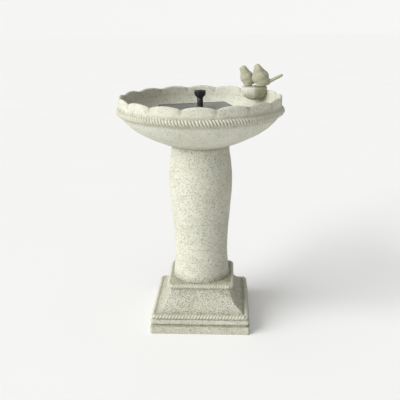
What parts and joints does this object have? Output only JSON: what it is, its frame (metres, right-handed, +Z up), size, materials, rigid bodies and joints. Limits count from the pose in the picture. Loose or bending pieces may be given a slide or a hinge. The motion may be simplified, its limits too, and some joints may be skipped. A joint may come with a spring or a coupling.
{
  "type": "bird bath",
  "caption": "Pedestal bird bath with a scalloped bowl on a round column and square rope-moulded base, a perch with small birds, and a drop-in solar fountain",
  "frame": {"origin": "on the column's axis at ground level, the centre of the base's underside", "axes": "+Z up; front towards -Y; +X to the right seen from the front, with the perch at the back right"},
  "size_m": [0.4629, 0.463, 0.7309],
  "materials": {
    "cast_stone": "ivory cast-stone resin with fine dark grey speckles, matt, faintly weathered",
    "bird_stone": "plain cast-stone resin without speckles, matt",
    "stainless": "plain stainless steel, satin",
    "brass": "turned brass, dull",
    "black_plastic": "black ABS, fine moulded texture",
    "white_plastic": "white acetal, smooth",
    "cover_glass": "toughened clear sheet over dark cells, low gloss",
    "solar_cell": "dark blue-grey polycrystalline silicon, faint grain",
    "circuit_board": "green solder mask",
    "backsheet": "off-white laminate",
    "lamination_steel": "stamped electrical steel, dull",
    "copper_winding": "enamelled copper wire",
    "epoxy": "black potting resin",
    "red_insulation": "insulated wire",
    "rubber": "black moulded rubber, matt",
    "silicone": "red-brown silicone seal",
    "ferrite": "ground ferrite magnet",
    "shaft_ceramic": "polished ceramic pin",
    "foam": "open-cell black filter foam"
  },
  "bodies": {
    "pedestal": {"base_plinth": "cast_stone", "column": "cast_stone", "column_inserts": "brass", "column_washers": "stainless", "column_bolts": "stainless"},
    "bowl": {"bowl": "cast_stone", "perch": "cast_stone", "perch_pins": "stainless", "near_bird": "bird_stone", "far_bird": "bird_stone", "bird_pins": "stainless"},
    "fountain": {"panel_tray": "black_plastic", "panel_frame": "black_plastic", "panel_glass": "cover_glass", "solar_cells": "solar_cell", "cell_backing": "backsheet", "cell_ribbons": "stainless", "tray_screws": "stainless", "tray_seal": "rubber", "pump_body": "black_plastic", "stator_core": "lamination_steel", "stator_coils": "copper_winding", "stator_potting": "epoxy", "control_board": "circuit_board", "panel_leads": "red_insulation", "pump_plate": "black_plastic", "pump_seal": "silicone", "pump_screws": "stainless", "upper_bush": "rubber", "lower_bush": "rubber", "rotor_shaft": "shaft_ceramic", "filter_sponge": "foam", "filter_cage": "black_plastic", "suction_feet": "rubber"},
    "rotor": {"impeller": "white_plastic", "rotor_magnet": "ferrite", "thrust_washers": "white_plastic"},
    "riser": {"riser_tube": "black_plastic", "riser_seal": "rubber"},
    "spray_head": {"spray_head": "black_plastic", "spray_plate": "black_plastic"}
  },
  "joints": [
    {"name": "bowl_lift", "type": "slide", "parent": "pedestal", "child": "bowl", "axis": [0, 0, 1], "range_m": [0, 0.12]},
    {"name": "fountain_lift", "type": "slide", "parent": "bowl", "child": "fountain", "axis": [0, 0, 1], "range_m": [0, 0.12]},
    {"name": "rotor_spin", "type": "hinge", "parent": "fountain", "child": "rotor", "pos_m": [0, 0, 0.5915], "axis": [0, 0, 1], "continuous": true},
    {"name": "riser_pull", "type": "slide", "parent": "fountain", "child": "riser", "axis": [0, 0, 1], "range_m": [0, 0.03]},
    {"name": "head_pull", "type": "slide", "parent": "riser", "child": "spray_head", "axis": [0, 0, 1], "range_m": [0, 0.02]}
  ]
}
